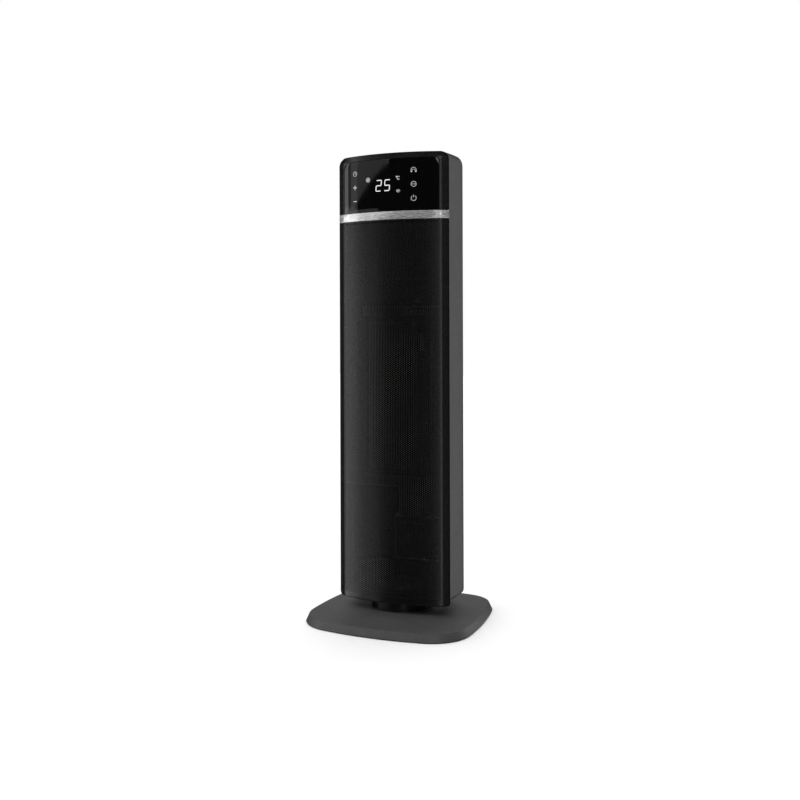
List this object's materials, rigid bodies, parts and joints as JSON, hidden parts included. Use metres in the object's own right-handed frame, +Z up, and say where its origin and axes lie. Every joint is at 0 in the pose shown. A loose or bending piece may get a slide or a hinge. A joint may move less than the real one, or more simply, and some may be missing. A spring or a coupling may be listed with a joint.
{
  "type": "ceramic space heater",
  "caption": "Slim oscillating ceramic tower heater with touch panel, silver band, perforated front, rear filter and rounded-square base.",
  "frame": {"origin": "point on the floor below the swivel axis, in the middle of the base", "axes": "+Z up, front face towards -Y, +X to the right of someone who looks at the front"},
  "size_m": [0.2346, 0.2176, 0.634],
  "materials": {
    "base_plastic": "fine-grained dark grey moulded plastic",
    "shell_plastic": "fine-grained dark grey moulded plastic",
    "cover_plastic": "satin black moulded plastic",
    "panel_gloss": "high-gloss black",
    "band_metal": "satin silver",
    "grille_metal": "satin black powder coat, perforated",
    "rubber": "matte",
    "gland_rubber": "matte",
    "steel": "zinc plated",
    "screw_steel": "zinc plated",
    "white_plastic": "natural white acetal",
    "tilt_plastic": "matte",
    "weight_brass": "turned",
    "motor_steel": "drawn can",
    "rotor_iron": "laminated",
    "aluminium": "mill finish",
    "ceramic": "sintered ceramic, matte",
    "heater_resin": "heat-resistant resin",
    "brass": "stamped",
    "cutoff": "satin",
    "galvanised": "galvanised sheet",
    "fan_metal": "mill finish",
    "bush_bronze": "sintered",
    "board_green": "solder mask",
    "parts_black": "moulded components",
    "spring_steel": "plated spring wire",
    "digit_module": "display module",
    "lamp_clear": "diffuse lamp",
    "filter_nylon": "fine woven nylon",
    "key_black": "satin"
  },
  "bodies": {
    "base": {"base_cover": "base_plastic", "base_plate": "base_plastic", "counterweight": "steel", "rubber_feet": "rubber", "base_screws": "screw_steel", "pivot_post": "white_plastic", "pivot_clip": "steel", "swivel_gear": "white_plastic", "slide_ring": "white_plastic"},
    "tower": {"rear_housing": "shell_plastic", "grip_cup": "shell_plastic", "front_frame": "cover_plastic", "swivel_collar": "cover_plastic", "switch_case": "cover_plastic", "cross_rail": "cover_plastic", "bush_holder": "cover_plastic", "board_carrier": "cover_plastic", "control_panel": "panel_gloss", "trim_band": "band_metal", "front_grille": "grille_metal", "cord_gland": "gland_rubber", "swivel_plate": "steel", "swing_bracket": "steel", "motor_bracket": "steel", "switch_pin": "steel", "tilt_pin": "steel", "collar_screws": "screw_steel", "shell_screws": "screw_steel", "board_tray": "white_plastic", "tilt_case": "tilt_plastic", "swing_motor": "motor_steel", "fan_motor": "motor_steel", "heating_bars": "aluminium", "heat_fins": "aluminium", "ceramic_stones": "ceramic", "heater_frame": "heater_resin", "heater_tabs": "brass", "thermal_cutoff": "cutoff", "blower_base": "galvanised", "blower_cap": "galvanised", "scroll_wall": "galvanised", "blower_tongue": "galvanised", "shaft_bush": "bush_bronze", "display_board": "board_green", "power_board": "board_green", "board_parts": "parts_black", "touch_springs": "spring_steel", "digit_display": "digit_module", "status_lamps": "lamp_clear"},
    "drive_pinion": {"drive_pinion": "white_plastic"},
    "fan": {"fan_wheel": "fan_metal", "fan_shaft": "steel", "motor_rotor": "rotor_iron"},
    "filter": {"filter_frame": "shell_plastic", "filter_mesh": "filter_nylon"},
    "switch_key": {"rocker_key": "key_black"},
    "tilt_lever": {"tilt_weight": "weight_brass"}
  },
  "joints": [
    {"name": "swing", "type": "hinge", "parent": "base", "child": "tower", "pos_m": [0, 0, 0.025], "axis": [0, 0, 1], "range_deg": [-35, 35]},
    {"name": "pinion_turn", "type": "hinge", "parent": "tower", "child": "drive_pinion", "pos_m": [-0.039, 0, 0.045], "axis": [0, 0, 1], "range_deg": [-120, 120]},
    {"name": "fan_spin", "type": "hinge", "parent": "tower", "child": "fan", "pos_m": [0.018, 0.01, 0.3], "axis": [0, 0, 1], "continuous": true},
    {"name": "filter_pull", "type": "slide", "parent": "tower", "child": "filter", "axis": [0, 1, 0], "range_m": [0, 0.04]},
    {"name": "power_rock", "type": "hinge", "parent": "tower", "child": "switch_key", "pos_m": [-0.036, 0.04, 0.098], "axis": [1, 0, 0], "range_deg": [-8, 8]},
    {"name": "tilt_swing", "type": "hinge", "parent": "tower", "child": "tilt_lever", "pos_m": [0.046, 0, 0.064], "axis": [1, 0, 0], "range_deg": [-20, 20]}
  ],
  "couplings": [
    {"joint": "pinion_turn", "follows": "swing", "ratio": 3.3333}
  ]
}
